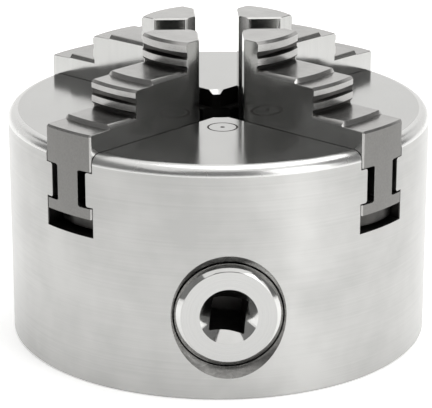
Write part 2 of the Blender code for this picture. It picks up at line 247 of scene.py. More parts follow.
def moved(bm, x, y):
    bmesh.ops.translate(bm, vec=(x, y, 0.0), verts=bm.verts[:])
    return bm


def to_object(bm, name):
    mesh = bpy.data.meshes.new(name)
    bm.to_mesh(mesh)
    bm.free()
    obj = bpy.data.objects.new(name, mesh)
    bpy.context.scene.collection.objects.link(obj)
    return obj


def evaluated_mesh(obj):
    graph = bpy.context.evaluated_depsgraph_get()
    graph.update()
    return bpy.data.meshes.new_from_object(obj.evaluated_get(graph))


def carve(obj, tool, operation="DIFFERENCE"):
    """One Boolean with a shape that is dropped afterwards; a result that lost the piece is made again."""
    cutter = to_object(tool, "cutter")
    fewest = 0.5 * len(obj.data.vertices)
    for solver in ("EXACT", "EXACT", "MANIFOLD"):
        mod = obj.modifiers.new("carve", "BOOLEAN")
        mod.operation = operation
        mod.solver = solver
        mod.object = cutter
        result = evaluated_mesh(obj)
        obj.modifiers.clear()
        if len(result.vertices) > fewest:
            break
        bpy.data.meshes.remove(result)
    old = obj.data
    obj.data = result
    bpy.data.meshes.remove(old)
    bpy.data.objects.remove(cutter, do_unlink=True)
    return obj


def soften(bm, edges, width, segments=2):
    bmesh.ops.bevel(bm, geom=edges, offset=width, offset_type="OFFSET", segments=segments,
                    profile=0.5, affect="EDGES", material=-1, clamp_overlap=True)


def sharp_edges(bm, degrees, shortest):
    limit = math.radians(degrees)
    return [e for e in bm.edges
            if e.is_manifold and e.calc_face_angle() > limit and e.calc_length() > shortest]


def reshape(obj, change):
    """Opens an object's mesh as a bmesh, changes it and puts it back."""
    bm = bmesh.new()
    bm.from_mesh(obj.data)
    change(bm)
    bm.to_mesh(obj.data)
    bm.free()
    return obj


def finish_piece(obj, name, body, nodes, materials, pick=None):
    """Scales to metres, shades, sorts the finishes and ties the piece to its body."""
    obj.name = name
    obj.data.name = name
    obj.data.materials.clear()
    for material in materials:
        obj.data.materials.append(material)
    for face in obj.data.polygons:
        face.use_smooth = True
        face.material_index = pick(face.center, face.normal) if pick else 0
    obj.data.transform(Matrix.Scale(MM, 4))
    obj.data.set_sharp_from_angle(angle=math.radians(SHARP_FROM))
    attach(obj, body)
    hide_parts(*nodes)
    return obj


def on_circle(radius, degrees):
    a = math.radians(degrees)
    return radius * math.cos(a), radius * math.sin(a)


# -------------------------------------------------------------- finishes

def new_steel(name, colour, rough):
    """A bare metal shader with the values that are the same all over."""
    material = bpy.data.materials.new(name)
    material.use_nodes = True
    tree = material.node_tree
    shader = tree.nodes["Principled BSDF"]
    shader.inputs["Metallic"].default_value = 1.0
    shader.inputs["Base Color"].default_value = (*colour, 1.0)
    shader.inputs["Roughness"].default_value = rough
    return material, tree, shader


def placed(tree, scale=(1.0, 1.0, 1.0), centre=(0.0, 0.0, 0.0)):
    """Object coordinates, moved to a centre and then stretched."""
    coords = tree.nodes.new("ShaderNodeTexCoord")
    mapping = tree.nodes.new("ShaderNodeMapping")
    mapping.inputs["Location"].default_value = [-c * s for c, s in zip(centre, scale)]
    mapping.inputs["Scale"].default_value = scale
    tree.links.new(coords.outputs["Object"], mapping.inputs["Vector"])
    return mapping.outputs["Vector"]


def noise(tree, vector, scale, detail=3.0, rough=0.55):
    node = tree.nodes.new("ShaderNodeTexNoise")
    node.inputs["Scale"].default_value = scale
    node.inputs["Detail"].default_value = detail
    node.inputs["Roughness"].default_value = rough
    tree.links.new(vector, node.inputs["Vector"])
    return node.outputs["Fac"]


def ranged(tree, value, low, high, start=0.3, end=0.7):
    node = tree.nodes.new("ShaderNodeMapRange")
    node.inputs["From Min"].default_value = start
    node.inputs["From Max"].default_value = end
    node.inputs["To Min"].default_value = low
    node.inputs["To Max"].default_value = high
    tree.links.new(value, node.inputs["Value"])
    return node.outputs["Result"]


def arithmetic(tree, operation, first, second):
    node = tree.nodes.new("ShaderNodeMath")
    node.operation = operation
    for socket, value in zip(node.inputs, (first, second)):
        if isinstance(value, float):
            socket.default_value = value
        else:
            tree.links.new(value, socket)
    return node.outputs["Value"]


def tinted(tree, value, dark, light, start=0.3, end=0.7):
    node = tree.nodes.new("ShaderNodeValToRGB")
    ends = node.color_ramp.elements
    ends[0].position, ends[1].position = start, end
    ends[0].color = (*dark, 1.0)
    ends[1].color = (*light, 1.0)
    tree.links.new(value, node.inputs["Fac"])
    return node.outputs["Color"]


def relief(tree, value, depth, under=None):
    node = tree.nodes.new("ShaderNodeBump")
    node.inputs["Distance"].default_value = depth
    node.inputs["Strength"].default_value = 1.0
    tree.links.new(value, node.inputs["Height"])
    if under is not None:
        tree.links.new(under, node.inputs["Normal"])
    return node.outputs["Normal"]


def from_axis(tree, centre, keep):
    """Distance from an axis: the kept components of the place, measured from its centre."""
    vector = placed(tree, keep, centre)
    node = tree.nodes.new("ShaderNodeVectorMath")
    node.operation = "LENGTH"
    tree.links.new(vector, node.inputs[0])
    return node.outputs["Value"]


def ring_marks(tree, radius, frequency):
    """Fine turning marks: noise that changes only with the distance from the axis."""
    node = tree.nodes.new("ShaderNodeTexNoise")
    node.noise_dimensions = "1D"
    node.inputs["Scale"].default_value = frequency
    node.inputs["Detail"].default_value = 4.0
    node.inputs["Roughness"].default_value = 0.7
    tree.links.new(radius, node.inputs["W"])
    return node.outputs["Fac"]


def spread(colour, share):
    return tuple(c * (1.0 - share) for c in colour), tuple(min(1.0, c * (1.0 + share)) for c in colour)


def wall_steel():
    """The ground outside: satin, with marks running round the body."""
    colour = (0.47, 0.469, 0.460)
    material, tree, shader = new_steel("satin_ground_wall", colour, 0.32)
    shader.inputs["Anisotropic"].default_value = 0.55
    up = tree.nodes.new("ShaderNodeCombineXYZ")
    up.inputs["Z"].default_value = 1.0
    tree.links.new(up.outputs["Vector"], shader.inputs["Tangent"])
    rounds = noise(tree, placed(tree, (30.0, 30.0, 2400.0)), 1.0, 4.0, 0.6)
    clouds = noise(tree, placed(tree), 55.0, 3.0)
    grit = noise(tree, placed(tree, (900.0, 900.0, 2600.0)), 1.0, 2.0)
    mottled = arithmetic(tree, "ADD", arithmetic(tree, "MULTIPLY", clouds, 0.75),
                         arithmetic(tree, "MULTIPLY", rounds, 0.25))
    tree.links.new(tinted(tree, mottled, *spread(colour, 0.10), 0.38, 0.62), shader.inputs["Base Color"])
    tree.links.new(ranged(tree, clouds, 0.28, 0.36), shader.inputs["Roughness"])
    marks = relief(tree, rounds, 1.6e-6)
    tree.links.new(relief(tree, grit, 1.0e-6, marks), shader.inputs["Normal"])
    return material


def face_steel():
    """The polished front face, with faint turning marks and the etched index ring."""
    colour = (0.52, 0.52, 0.512)
    material, tree, shader = new_steel("polished_face", colour, 0.16)
    radius = from_axis(tree, (0.0, 0.0, 0.0), (1.0, 1.0, 0.0))
    rings = ring_marks(tree, radius, 2200.0)
    clouds = noise(tree, placed(tree), 70.0, 4.0)
    wiped = noise(tree, placed(tree, (260.0, 70.0, 60.0)), 1.0, 3.0)
    plain = tinted(tree, arithmetic(tree, "MULTIPLY", arithmetic(tree, "ADD", rings, clouds), 0.5),
                   *spread(colour, 0.03))
    reach = from_axis(tree, (0.0, RING_CENTRE_Y * MM, 0.0), (1.0, 1.0, 0.0))
    off_line = arithmetic(tree, "ABSOLUTE", arithmetic(tree, "SUBTRACT", reach, RING_R * MM), 0.0)
    line = arithmetic(tree, "LESS_THAN", off_line, 0.5 * RING_LINE * MM)
    dot = arithmetic(tree, "LESS_THAN", reach, RING_DOT_R * MM)
    etched = arithmetic(tree, "MAXIMUM", line, dot)
    mix = tree.nodes.new("ShaderNodeMix")
    mix.data_type = "RGBA"
    tree.links.new(etched, mix.inputs["Factor"])
    tree.links.new(plain, mix.inputs[6])
    mix.inputs[7].default_value = (0.035, 0.030, 0.026, 1.0)
    tree.links.new(mix.outputs[2], shader.inputs["Base Color"])
    rough = ranged(tree, wiped, 0.13, 0.19)
    tree.links.new(arithmetic(tree, "ADD", rough, arithmetic(tree, "MULTIPLY", etched, 0.35)),
                   shader.inputs["Roughness"])
    tree.links.new(relief(tree, rings, 2.5e-7), shader.inputs["Normal"])
    return material


def painted_highlight_corner_steel():
    """The rounded front corner, its colour painted lighter than the face's steel as a painted highlight."""
    # Painted highlight: the corner's steel is lighter than the face's so that its band of light reads
    # brighter.
    colour = (0.66, 0.66, 0.652)
    material, tree, shader = new_steel("painted_highlight_corner", colour, 0.27)
    marks = noise(tree, placed(tree, (60.0, 60.0, 3000.0)), 1.0, 3.0)
    clouds = noise(tree, placed(tree), 80.0, 3.0)
    tree.links.new(tinted(tree, clouds, *spread(colour, 0.03)), shader.inputs["Base Color"])
    tree.links.new(ranged(tree, clouds, 0.24, 0.31), shader.inputs["Roughness"])
    tree.links.new(relief(tree, marks, 5.0e-7), shader.inputs["Normal"])
    return material


def painted_shade_inside_steel():
    """Inside walls, guideways, and the jaws' grooves and teeth: painted near-black for the shade inside
    them, with cutter marks.
    """
    # Painted shade: this near-black colour stands in for the shade in the body's bores and ways and in the
    # jaws' grooves and teeth.
    colour = (0.075, 0.073, 0.070)
    material, tree, shader = new_steel("painted_shade_inside", colour, 0.38)
    marks = noise(tree, placed(tree, (500.0, 500.0, 1500.0)), 1.0, 4.0)
    clouds = noise(tree, placed(tree), 120.0, 3.0)
    tree.links.new(tinted(tree, clouds, *spread(colour, 0.35)), shader.inputs["Base Color"])
    tree.links.new(ranged(tree, marks, 0.30, 0.48), shader.inputs["Roughness"])
    tree.links.new(relief(tree, marks, 4.0e-6), shader.inputs["Normal"])
    return material


def painted_shade_recess_steel():
    """The cone round each pinion, left as the cutter made it, and painted dark for the shade in the recess.
    """
    # Painted shade: the dark colour stands in for the shade that falls in the recess round the pinion.
    colour = (0.24, 0.237, 0.230)
    material, tree, shader = new_steel("turned_recess_painted_shade", colour, 0.26)
    chatter = noise(tree, placed(tree, (800.0, 800.0, 1600.0)), 1.0, 4.0, 0.65)
    patch = noise(tree, placed(tree), 160.0, 2.0)
    tree.links.new(tinted(tree, chatter, *spread(colour, 0.25)), shader.inputs["Base Color"])
    tree.links.new(ranged(tree, patch, 0.18, 0.36), shader.inputs["Roughness"])
    tree.links.new(relief(tree, chatter, 8.0e-6), shader.inputs["Normal"])
    return material


def jaw_side_steel():
    """The jaws' ground flanks: bright, with straight vertical grinding marks."""
    colour = (0.53, 0.53, 0.520)
    material, tree, shader = new_steel("ground_flank", colour, 0.14)
    lines = noise(tree, placed(tree, (2200.0, 2200.0, 60.0)), 1.0, 3.0)
    clouds = noise(tree, placed(tree), 140.0, 3.0)
    tree.links.new(tinted(tree, lines, *spread(colour, 0.03)), shader.inputs["Base Color"])
    tree.links.new(ranged(tree, clouds, 0.10, 0.18), shader.inputs["Roughness"])
    tree.links.new(relief(tree, lines, 2.0e-7), shader.inputs["Normal"])
    return material


def jaw_step_steel(name, colour):
    """Steps and tops: hardened, greyer, with a soft ground lustre."""
    material, tree, shader = new_steel(name, colour, 0.24)
    lines = noise(tree, placed(tree, (900.0, 900.0, 900.0)), 1.0, 4.0)
    clouds = noise(tree, placed(tree), 110.0, 4.0)
    tree.links.new(tinted(tree, clouds, *spread(colour, 0.10)), shader.inputs["Base Color"])
    tree.links.new(ranged(tree, lines, 0.21, 0.27), shader.inputs["Roughness"])
    tree.links.new(relief(tree, lines, 1.2e-7), shader.inputs["Normal"])
    return material


def jaw_end_steel():
    """The jaws' outer ends: a matt, fine-blasted grey."""
    colour = (0.225, 0.222, 0.215)
    material, tree, shader = new_steel("matt_jaw_end", colour, 0.45)
    grit = noise(tree, placed(tree), 2600.0, 3.0, 0.65)
    clouds = noise(tree, placed(tree), 170.0, 3.0)
    both = arithmetic(tree, "ADD", arithmetic(tree, "MULTIPLY", grit, 0.5),
                      arithmetic(tree, "MULTIPLY", clouds, 0.5))
    tree.links.new(tinted(tree, both, *spread(colour, 0.16)), shader.inputs["Base Color"])
    tree.links.new(ranged(tree, clouds, 0.38, 0.52), shader.inputs["Roughness"])
    tree.links.new(relief(tree, grit, 5.0e-6), shader.inputs["Normal"])
    return material


def pinion_steel():
    """The pinions' faces: bright turned steel with rings round the key axis."""
    colour = (0.50, 0.50, 0.493)
    material, tree, shader = new_steel("bright_turned", colour, 0.2)
    radius = from_axis(tree, (0.0, 0.0, KEY_AXIS_Z * MM), (1.0, 0.0, 1.0))
    rings = ring_marks(tree, radius, 3000.0)
    clouds = noise(tree, placed(tree), 150.0, 3.0)
    tree.links.new(tinted(tree, rings, *spread(colour, 0.04)), shader.inputs["Base Color"])
    tree.links.new(ranged(tree, clouds, 0.15, 0.24), shader.inputs["Roughness"])
    tree.links.new(relief(tree, rings, 6.0e-7), shader.inputs["Normal"])
    return material


def mirror_steel():
    """Chamfers cut by a form tool, almost a mirror."""
    colour = (0.66, 0.66, 0.65)
    material, tree, shader = new_steel("form_cut_chamfer", colour, 0.08)
    marks = noise(tree, placed(tree), 1800.0, 3.0)
    clouds = noise(tree, placed(tree), 200.0, 2.0)
    tree.links.new(tinted(tree, clouds, *spread(colour, 0.04)), shader.inputs["Base Color"])
    tree.links.new(ranged(tree, marks, 0.06, 0.13), shader.inputs["Roughness"])
    tree.links.new(relief(tree, marks, 5.0e-7), shader.inputs["Normal"])
    return material


def plate_steel():
    """The rear cover: coarse facing marks round the spindle axis."""
    colour = (0.50, 0.495, 0.485)
    material, tree, shader = new_steel("faced_plate", colour, 0.3)
    radius = from_axis(tree, (0.0, 0.0, 0.0), (1.0, 1.0, 0.0))
    rings = ring_marks(tree, radius, 1500.0)
    clouds = noise(tree, placed(tree), 60.0, 4.0)
    tree.links.new(tinted(tree, rings, *spread(colour, 0.07)), shader.inputs["Base Color"])
    tree.links.new(ranged(tree, clouds, 0.24, 0.38), shader.inputs["Roughness"])
    tree.links.new(relief(tree, rings, 2.5e-6), shader.inputs["Normal"])
    return material


def rear_steel():
    """The rear mounting face: turned, then lightly ground."""
    colour = (0.56, 0.555, 0.545)
    material, tree, shader = new_steel("ground_rear_face", colour, 0.22)
    radius = from_axis(tree, (0.0, 0.0, 0.0), (1.0, 1.0, 0.0))
    rings = ring_marks(tree, radius, 1900.0)
    clouds = noise(tree, placed(tree), 60.0, 4.0)
    tree.links.new(tinted(tree, clouds, *spread(colour, 0.05)), shader.inputs["Base Color"])
    tree.links.new(ranged(tree, clouds, 0.18, 0.28), shader.inputs["Roughness"])
    tree.links.new(relief(tree, rings, 1.2e-6), shader.inputs["Normal"])
    return material


def scroll_steel():
    """The scroll: hardened and oiled, with rings from the thread cutter."""
    colour = (0.30, 0.295, 0.285)
    material, tree, shader = new_steel("oiled_scroll", colour, 0.3)
    radius = from_axis(tree, (0.0, 0.0, 0.0), (1.0, 1.0, 0.0))
    rings = ring_marks(tree, radius, 1200.0)
    clouds = noise(tree, placed(tree), 90.0, 4.0)
    tree.links.new(tinted(tree, clouds, *spread(colour, 0.2)), shader.inputs["Base Color"])
    tree.links.new(ranged(tree, clouds, 0.22, 0.40), shader.inputs["Roughness"])
    tree.links.new(relief(tree, rings, 2.0e-6), shader.inputs["Normal"])
    return material


def screw_oxide():
    """Black-oxide screw steel, worn a little lighter where it is handled."""
    colour = (0.055, 0.055, 0.058)
    material, tree, shader = new_steel("black_oxide_screw", colour, 0.4)
    wear = noise(tree, placed(tree), 700.0, 4.0)
    tree.links.new(tinted(tree, wear, (0.035, 0.035, 0.038), (0.12, 0.118, 0.115), 0.4, 0.75),
                   shader.inputs["Base Color"])
    tree.links.new(ranged(tree, wear, 0.34, 0.5), shader.inputs["Roughness"])
    tree.links.new(relief(tree, wear, 3.0e-6), shader.inputs["Normal"])
    return material


# ------------------------------------------------------------------ body

def fillet_arc():
    """The rounded front corner, from the face down to the wall."""
    centre = (BODY_R - TOP_FILLET, BODY_H - TOP_FILLET)
    arc = []
    for i in range(FILLET_STEPS + 1):
        a = 0.5 * math.pi * (1.0 - i / FILLET_STEPS)
        arc.append((centre[0] + TOP_FILLET * math.cos(a), centre[1] + TOP_FILLET * math.sin(a)))
    return arc


def body_outline():
    face = [(BORE_R + BORE_CHAMFER, BODY_H), (30.0, BODY_H), (BODY_R - TOP_FILLET - 0.3, BODY_H)]
    wall = [(BODY_R, z) for z in (BODY_H - TOP_FILLET - 0.3, 36.0, 20.0, REAR_CHAMFER + 0.3)]
    rear = [(BODY_R, REAR_CHAMFER), (BODY_R - REAR_CHAMFER, 0.0), (REGISTER_R + 0.5, 0.0)]
    inside = [
        (REGISTER_R, 0.5),
        (REGISTER_R, COVER_SEAT_Z),
        (CAVITY_R, COVER_SEAT_Z),
        (CAVITY_R, CAVITY_TOP),
        (HUB_R, CAVITY_TOP),
        (HUB_R, REGISTER_DEPTH),
        (BORE_R + 0.6, REGISTER_DEPTH),
        (BORE_R, REGISTER_DEPTH + 0.6),
        (BORE_R, BODY_H - BORE_CHAMFER),
    ]
    return face + fillet_arc() + wall + rear + inside


def guideway():
    """The jaw's way: wide, narrowed by two ribs, wide again, and eased at its mouth."""
    wide, narrow, ease = GUIDE_HALF, RIB_HALF, RIB_CORNER
    low, high = RIB_Z
    half = [
        (wide, GUIDE_FLOOR_Z),
        (wide, low),
        (narrow + ease, low),
        (narrow, low + ease),
        (narrow, high - ease),
        (narrow + ease, high),
        (wide, high),
        (wide, BODY_H + 4.0),
    ]
    outline = half + [(-v, z) for v, z in reversed(half)]
    start = 0.5
    mouth = BODY_R - 0.8
    flare = 1.0 + MOUTH_FLARE * 3.0 / GUIDE_HALF
    return extrude_outline([(start, v, z) for v, z in outline], [
        ((mouth - start, 0.0, 0.0), None, None),
        ((2.4, 0.0, 0.0), (1.0, flare, 1.0), (0.0, 0.0, 0.0)),
    ])


def pinion_bore(side):
    outline = [
        (0.0, PINION_BORE_END),
        (PINION_BORE_R, PINION_BORE_END),
        (PINION_BORE_R, BODY_R - RECESS_DEPTH),
        (PINION_BORE_R + RECESS_FLARE, BODY_R + PAST_WALL),
        (0.0, BODY_R + PAST_WALL),
    ]
    return along_key(spin_outline(outline, 160), side)


def nose_hole(side):
    """The hole in the hub wall that a pinion's nose turns in."""
    low, high = NOSE_HOLE
    radius = NOSE_R + NOSE_PLAY
    outline = [(0.0, low), (radius, low), (radius, high), (0.0, high)]
    return along_key(spin_outline(outline, ROUND_STEPS), side)


def cover_screw_hole(angle):
    low = COVER_SEAT_Z - 1.0
    high = SCREW_END + 0.6
    radius = SCREW_R + SCREW_PLAY
    outline = [(0.0, low), (radius, low), (radius, high), (0.0, SCREW_END + 1.3)]
    return moved(spin_outline(outline, 24), *on_circle(SCREW_CIRCLE, angle))


def drill(x, y, radius, low, high):
    """A blind hole from the rear, with its mouth eased and its end coned."""
    mouth = radius + HOLE_EASE
    outline = [(0.0, low), (mouth, low), (mouth, 0.0), (radius, HOLE_EASE),
               (radius, high), (0.0, high + 0.6 * radius)]
    return moved(spin_outline(outline, ROUND_STEPS), x, y)


def body_finish(centre, normal):
    """0 wall, 1 face, 2 inside, 3 recess cone, 4 rear face, 5 rounded front corner."""
    radius = math.hypot(centre.x, centre.y)
    outward = (centre.x * normal.x + centre.y * normal.y) / max(radius, 0.01)
    if centre.z > BODY_H - TOP_FILLET - 0.05 and radius > BODY_R - TOP_FILLET and outward > 0.02:
        if math.hypot(outward, normal.z) > 0.999:
            return 5
    if centre.z > BODY_H - TOP_FILLET - 0.05 and (normal.z > 0.05 or radius > BODY_R - 0.4):
        if radius > BORE_R + 0.2 and (normal.z > 0.03 or radius > BODY_R - 0.3):
            return 1
    if centre.z < 0.05 or (normal.z < -0.9 and centre.z < 0.2):
        return 4
    if radius > BODY_R - 0.35 and abs(normal.z) < 0.2 and outward > 0.97:
        return 0
    from_key = math.hypot(centre.x, centre.z - KEY_AXIS_Z)
    if PINION_BORE_R + 0.02 < from_key < PINION_BORE_R + 4.0 and abs(centre.y) > BODY_R - 6.0:
        if radius < BODY_R - 0.05 and abs(normal.y) > 0.3 and radius > 44.0:
            return 3
    if radius > BODY_R - 1.3 and centre.z < REAR_CHAMFER + 0.1:
        return 0
    return 2


def make_body(finishes):
    body = to_object(spin_outline(body_outline(), BODY_STEPS), "body")
    for angle in JAW_ANGLES.values():
        carve(body, turn(guideway(), angle))
    for side in (-1.0, 1.0):
        carve(body, pinion_bore(side))
        carve(body, nose_hole(side))
        carve(body, drill(0.0, side * PINION_SCREW_R, STOP_HOLE_R, -1.0, STOP_HOLE_DEPTH))
    for angle in JAW_ANGLES.values():
        x, y = on_circle(BOLT_CIRCLE_R, angle)
        carve(body, drill(x, y, BOLT_HOLE_R, -1.0, BOLT_HOLE_DEPTH))
    for angle in SCREW_ANGLES:
        carve(body, cover_screw_hole(angle))
    finish_piece(body, "chuck_shell", "body", ["chuck_body"], finishes, body_finish)


# ------------------------------------------------------------------ jaws

def grooved_riser(radius, low, high):
    """A gripping riser from its foot up: undercut, land, groove, land and chamfer."""
    return [
        (radius - 1.4, low),
        (radius - 1.4, low + 0.5),
        (radius, low + UNDERCUT),
        (radius, low + GROOVE[0]),
        (radius - 2.0, low + GROOVE[0] + 0.4),
        (radius - 2.0, low + GROOVE[1] - 0.4),
        (radius, low + GROOVE[1]),
        (radius, high - 0.65),
        (radius - 0.6, high),
    ]


def jaw_outline():
    """The jaw seen from its side, from the foot's outer end up the steps to the tip."""
    outline = [(JAW_TIP, FOOT_Z), (JAW_END_R, FOOT_Z)]
    outline += [(JAW_END_R, LOW_PAD_Z[0] - 0.45), (JAW_END_R - 0.45, LOW_PAD_Z[0])]
    outline += [(LOW_PAD_R, LOW_PAD_Z[0]), (LOW_PAD_R - 0.3, LOW_PAD_Z[1])]
    outline += grooved_riser(LOW_RISER_R, LOW_PAD_Z[1], MID_PAD_Z[0])
    outline += [(MID_PAD_R, MID_PAD_Z[0]), (MID_PAD_R - 0.3, MID_PAD_Z[1])]
    outline += grooved_riser(MID_RISER_R, MID_PAD_Z[1], JAW_TOP_Z)
    outline += [(JAW_TIP, JAW_TOP_Z)]
    return outline


def flat_floor(place):
    """The straight floors of a riser's undercut and groove, shallow where they run out at the flanks."""
    for radius, low in ((LOW_RISER_R, LOW_PAD_Z[1]), (MID_RISER_R, MID_PAD_Z[1])):
        run_out = math.sqrt(radius ** 2 - JAW_HALF ** 2)
        height = place.z - low
        if -CORNER - 0.01 < height < 0.6 and abs(place.x - radius + 1.4) < 0.01:
            return run_out - 0.45
        if GROOVE[0] < height < GROOVE[1] and abs(place.x - radius + 2.0) < 0.01:
            return run_out - 0.3
    return None


def jaw_blank():
    """The stepped bar, drawn across its width so that every step is an arc about the spindle."""
    rows = 12
    inner = (2.0 * (JAW_HALF - CORNER)) / rows
    edge = [END_CORNER, CORNER - END_CORNER]
    widths = edge + [inner] * rows + edge[::-1]
    points = [(u, -JAW_HALF, z) for u, z in jaw_outline()]
    bm = extrude_outline(points, [((0.0, w, 0.0), None, None) for w in widths])
    raised = (LOW_PAD_Z[1], MID_PAD_Z[1])
    for vert in bm.verts:
        inset = JAW_HALF - abs(vert.co.y)
        if inset < CORNER - 0.01 and min(abs(vert.co.z - z) for z in raised) < 0.01:
            vert.co.z -= CORNER - inset
        if inset < END_CORNER - 0.01 and vert.co.x > JAW_END_R - 0.5:
            vert.co.x -= END_CORNER
        if vert.co.x > JAW_TIP + 0.01:
            vert.co.x = flat_floor(vert.co) or math.sqrt(vert.co.x ** 2 - vert.co.y ** 2)
    return bm


def neck_groove(side):
    """The groove along one flank that the body's rib runs in, eased in its inner corners."""
    ease = 0.4
    half = [(9.0, FOOT_TOP), (NECK_HALF + ease, FOOT_TOP), (NECK_HALF, FOOT_TOP + ease),
            (NECK_HALF, SHOULDER_Z - ease), (NECK_HALF + ease, SHOULDER_Z), (9.0, SHOULDER_Z)]
    return straight([(4.0, side * v, z) for v, z in half], (50.0, 0.0, 0.0))


def take_flank(bm, side):
    """Cuts one flank of the tip back at 45 degrees."""
    geom = bm.verts[:] + bm.edges[:] + bm.faces[:]
    normal = Vector((-1.0, side, 0.0)).normalized()
    point = (JAW_TIP, side * JAW_TIP_HALF, 0.0)
    cut = bmesh.ops.bisect_plane(bm, geom=geom, dist=1e-4, plane_co=point, plane_no=normal,
                                 clear_outer=True)
    rim = [g for g in cut["geom_cut"] if isinstance(g, bmesh.types.BMEdge)]
    if rim:
        bmesh.ops.edgeloop_fill(bm, edges=rim)


def shape_jaw(bm):
    for side in (-1.0, 1.0):
        take_flank(bm, side)
    bmesh.ops.remove_doubles(bm, verts=bm.verts[:], dist=0.02)
    face_outward(bm)
    crown = []
    for edge in bm.edges:
        top = all(abs(v.co.z - JAW_TOP_Z) < 0.01 for v in edge.verts)
        flank = all(abs(v.co.x - JAW_TIP - abs(v.co.y) + JAW_TIP_HALF) < 0.05 for v in edge.verts)
        if top and flank and edge.is_manifold:
            crown.append(edge)
    soften(bm, crown, 0.6, 1)
    long_edges = [e for e in sharp_edges(bm, 30.0, 3.0) if abs(e.verts[0].co.y - e.verts[1].co.y) < 0.01]
    soften(bm, long_edges, EDGE_ROUND)


def tooth_centres(angle):
    """Where the scroll's groove crosses a jaw, from the tip to the outer end."""
    first = SCROLL_START_R + SCROLL_PITCH * angle / 360.0 + 0.5 * SCROLL_PITCH
    while first - SCROLL_PITCH > JAW_TIP + 2.4:
        first -= SCROLL_PITCH
    centres = []
    while first < JAW_END_R - 2.6:
        centres.append(first)
        first += SCROLL_PITCH
    return centres


def crescent(centre, offset, radius):
    """One face of a tooth in plan: an arc that leans with the thread."""
    half = JAW_HALF - 0.25
    across = [half * (2.0 * i / TOOTH_STEPS - 1.0) for i in range(TOOTH_STEPS + 1)]
    sags = [radius - math.sqrt(radius ** 2 - v * v) for v in across]
    return [(centre + offset - sag + TOOTH_LEAN * v, v) for sag, v in zip(sags, across)]


def jaw_tooth(centre):
    """A crescent tooth: its hollow side suits the widest turn, its round side the tightest."""
    plan = crescent(centre, -TOOTH_HALF, TOOTH_HOLLOW_R) + crescent(centre, TOOTH_HALF, TOOTH_ROUND_R)[::-1]
    bm = straight([(u, v, TOOTH_BOTTOM_Z) for u, v in plan], (0.0, 0.0, FOOT_Z + 0.4 - TOOTH_BOTTOM_Z))
    rims = [e for e in bm.edges if all(abs(v.co.z - TOOTH_BOTTOM_Z) < 1e-4 for v in e.verts)]
    soften(bm, rims, 0.15, 1)
    for side in (-1.0, 1.0):
        take_flank(bm, side)
    face_outward(bm)
    return bm


def add_teeth(bm, angle):
    for centre in tooth_centres(angle):
        tooth = jaw_tooth(centre)
        mesh = bpy.data.meshes.new("tooth")
        tooth.to_mesh(mesh)
        tooth.free()
        bm.from_mesh(mesh)
        bpy.data.meshes.remove(mesh)


def make_jaw(node, angle, finishes):
    jaw = to_object(jaw_blank(), "jaw")
    for side in (-1.0, 1.0):
        carve(jaw, neck_groove(side))
    reshape(jaw, shape_jaw)
    reshape(jaw, lambda bm: add_teeth(bm, angle))

    def pick(centre, normal):
        """0 ground flanks, 1 steps, 2 outer end, 3 grooves and teeth, 4 top."""
        across = math.hypot(centre.x, centre.y)
        for radius, low in ((LOW_RISER_R, LOW_PAD_Z[1]), (MID_RISER_R, MID_PAD_Z[1])):
            height = centre.z - low
            if abs(normal.y) < 0.9 and radius - 2.2 < across < radius - 0.1:
                if 0.02 < height < UNDERCUT or GROOVE[0] < height < GROOVE[1]:
                    return 3
        if centre.z > JAW_TOP_Z - 0.05:
            return 4
        if centre.x > JAW_END_R - 1.6 and abs(normal.x) > 0.94:
            return 2
        if centre.z < FOOT_Z + 0.1:
            return 3
        if abs(normal.y) > 0.9 or abs(abs(normal.y) - 0.707) < 0.02 and centre.x < 16.0:
            return 0
        return 1

    picks = [pick(face.center, face.normal) for face in jaw.data.polygons]
    reshape(jaw, lambda bm: turn(bm, angle))
    order = iter(picks)
    finish_piece(jaw, "ground_" + node, JAW_BODIES[node], [node], finishes,
                 lambda centre, normal: next(order))


# --------------------------------------------------------------- pinions

def pinion_gear():
    """The bevel teeth: one star drawn in towards the gears' common apex."""
    pitch_r = GEAR_OUTER_R * PINION_TEETH / SCROLL_TEETH
    corners = [(pitch_r - 1.45, 0.185), (pitch_r, 0.118), (pitch_r + 0.85, 0.062)]
    star = []
    for i in range(PINION_TEETH):
        middle = 0.5 * math.pi + 2.0 * math.pi * (i + 0.5) / PINION_TEETH
        star += [(radius, middle - half) for radius, half in corners]
        star += [(radius, middle + half) for radius, half in reversed(corners)]
    points = [(r * math.cos(a), r * math.sin(a), GEAR_OUTER_R) for r, a in star]
    share = GEAR_INNER_R / GEAR_OUTER_R
    inwards = (0.0, 0.0, GEAR_INNER_R - GEAR_OUTER_R)
    return extrude_outline(points, [(inwards, (share, share, 1.0), (0.0, 0.0, 0.0))])


def pinion_outline():
    low, high = PINION_GROOVE
    return [
        (0.0, NOSE_END),
        (NOSE_R - 0.5, NOSE_END),
        (NOSE_R, NOSE_END + 0.5),
        (NOSE_R, GEAR_INNER_R - 1.0),
        (5.0, GEAR_INNER_R),
        (5.0, HEAD_END - 2.2),
        (PINION_R - 0.8, HEAD_END),
        (PINION_R, HEAD_END + 0.8),
        (PINION_R, low),
        (PINION_GROOVE_R, low),
        (PINION_GROOVE_R, high),
        (PINION_R, high),
        (PINION_R, PINION_FACE - RIM_CHAMFER - 0.12),
        (PINION_R - 0.06, PINION_FACE - RIM_CHAMFER),
        (PINION_R - RIM_CHAMFER, PINION_FACE - 0.06),
        (PINION_R - RIM_CHAMFER - 0.12, PINION_FACE),
        (0.0, PINION_FACE),
    ]


def key_square():
    """The square for the key, turned a little, with its corners just broken."""
    half = 0.5 * SQUARE
    broken = half - 0.25
    square = [(half, -broken), (half, broken), (broken, half), (-broken, half),
              (-half, broken), (-half, -broken), (-broken, -half), (broken, -half)]
    return [(x, y, PINION_FACE - SOCKET_DEPTH) for x, y in square]


